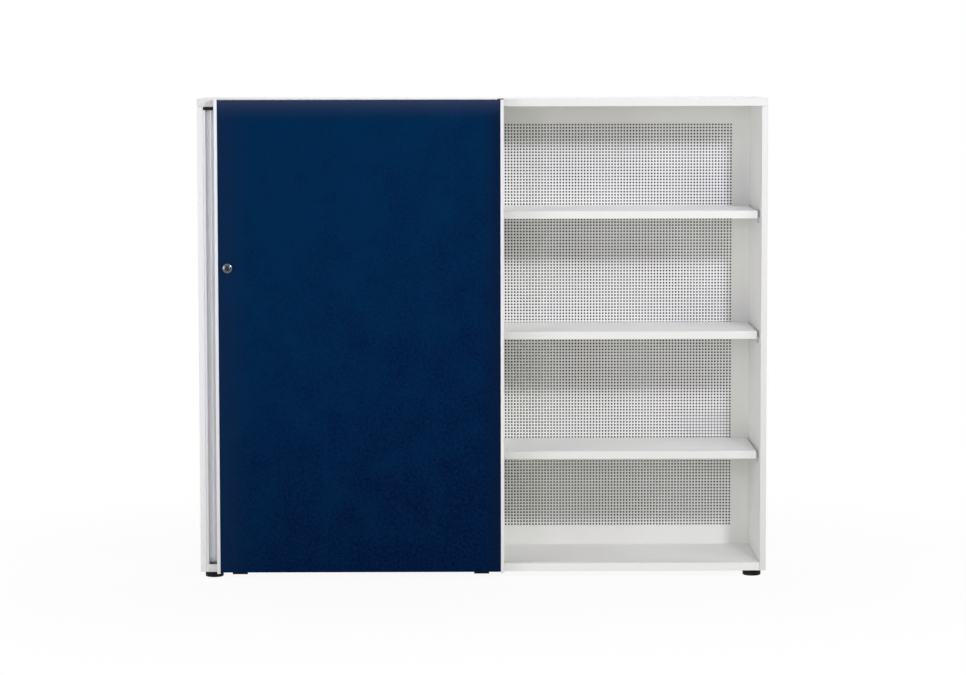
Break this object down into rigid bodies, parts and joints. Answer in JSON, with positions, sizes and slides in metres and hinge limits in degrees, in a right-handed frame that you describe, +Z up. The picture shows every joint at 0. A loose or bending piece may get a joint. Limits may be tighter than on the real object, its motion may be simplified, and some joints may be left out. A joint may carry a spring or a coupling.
{
  "type": "sliding door highboard",
  "caption": "Office highboard with open shelves on a perforated back and an upholstered sliding door with a push lock.",
  "frame": {"origin": "on the floor, below the middle of the box round the whole object with its door at the left end", "axes": "+X to the right along the front, +Y to the back, +Z up; the door and the shelves' front edges face -Y"},
  "size_m": [1.8, 0.4956, 1.523],
  "materials": {
    "white_melamine": "satin",
    "white_hardboard": "satin",
    "black_fleece": "matte",
    "black_plastic": "satin",
    "zinc_steel": "satin",
    "white_plastic": "satin",
    "white_lacquer": "satin",
    "black_rubber": "matte",
    "blue_fabric": "matte",
    "grey_nylon": "satin",
    "chrome": "polished",
    "dark_steel": "satin"
  },
  "bodies": {
    "carcass": {"acoustic_fleece_left": "black_fleece", "acoustic_fleece_right": "black_fleece", "back_panel_left": "white_hardboard", "back_panel_right": "white_hardboard", "bottom_panel": "white_melamine", "bottom_track": "white_plastic", "center_partition": "white_melamine", "closing_cap_bottom": "black_plastic", "closing_cap_top": "black_plastic", "closing_profile": "white_lacquer", "foot_front_left": "black_plastic", "foot_front_middle": "black_plastic", "foot_front_right": "black_plastic", "foot_rear_left": "black_plastic", "foot_rear_middle": "black_plastic", "foot_rear_right": "black_plastic", "partition_pin_1_front": "zinc_steel", "partition_pin_1_rear": "zinc_steel", "partition_pin_2_front": "zinc_steel", "partition_pin_2_rear": "zinc_steel", "partition_pin_3_front": "zinc_steel", "partition_pin_3_rear": "zinc_steel", "shelf_left_1": "white_melamine", "shelf_left_2": "white_melamine", "shelf_left_3": "white_melamine", "shelf_right_1": "white_melamine", "shelf_right_2": "white_melamine", "shelf_right_3": "white_melamine", "shelf_support_left_1_front": "zinc_steel", "shelf_support_left_1_rear": "zinc_steel", "shelf_support_left_2_front": "zinc_steel", "shelf_support_left_2_rear": "zinc_steel", "shelf_support_left_3_front": "zinc_steel", "shelf_support_left_3_rear": "zinc_steel", "shelf_support_right_1_front": "zinc_steel", "shelf_support_right_1_rear": "zinc_steel", "shelf_support_right_2_front": "zinc_steel", "shelf_support_right_2_rear": "zinc_steel", "shelf_support_right_3_front": "zinc_steel", "shelf_support_right_3_rear": "zinc_steel", "side_panel_left": "white_melamine", "side_panel_right": "white_melamine", "top_buffer": "black_rubber", "top_panel": "white_melamine", "top_track": "white_plastic"},
    "door": {"door_core": "white_melamine", "door_end_cap": "black_plastic", "edge_profile_left": "white_lacquer", "edge_profile_right": "white_lacquer", "fabric_panel": "blue_fabric", "lock_housing": "chrome", "lock_nut": "zinc_steel", "runner_bracket_left": "black_plastic", "runner_bracket_right": "black_plastic", "top_guide_left": "black_plastic", "top_guide_right": "black_plastic"},
    "roller_left": {"roller_left": "grey_nylon"},
    "roller_right": {"roller_right": "grey_nylon"},
    "lock_cylinder": {"lock_cylinder": "chrome"},
    "lock_core": {"lock_core": "dark_steel"}
  },
  "joints": [
    {"name": "door_slide", "type": "slide", "parent": "carcass", "child": "door", "axis": [1, 0, 0], "range_m": [0, 0.8102]},
    {"name": "roller_left_spin", "type": "hinge", "parent": "door", "child": "roller_left", "pos_m": [-0.7735, -0.17219, 0.0521], "axis": [0, 1, 0], "continuous": true},
    {"name": "roller_right_spin", "type": "hinge", "parent": "door", "child": "roller_right", "pos_m": [-0.0055, -0.17219, 0.0521], "axis": [0, 1, 0], "continuous": true},
    {"name": "lock_push", "type": "slide", "parent": "door", "child": "lock_cylinder", "axis": [0, 1, 0], "range_m": [0, 0.008], "stiffness_N_per_m": 300},
    {"name": "lock_turn", "type": "hinge", "parent": "lock_cylinder", "child": "lock_core", "pos_m": [-0.8048, -0.19219, 0.991], "axis": [0, 1, 0], "range_deg": [0, 90]}
  ],
  "couplings": [
    {"joint": "roller_left_spin", "follows": "door_slide", "rad_per_m": 71.429},
    {"joint": "roller_right_spin", "follows": "door_slide", "rad_per_m": 71.429}
  ]
}
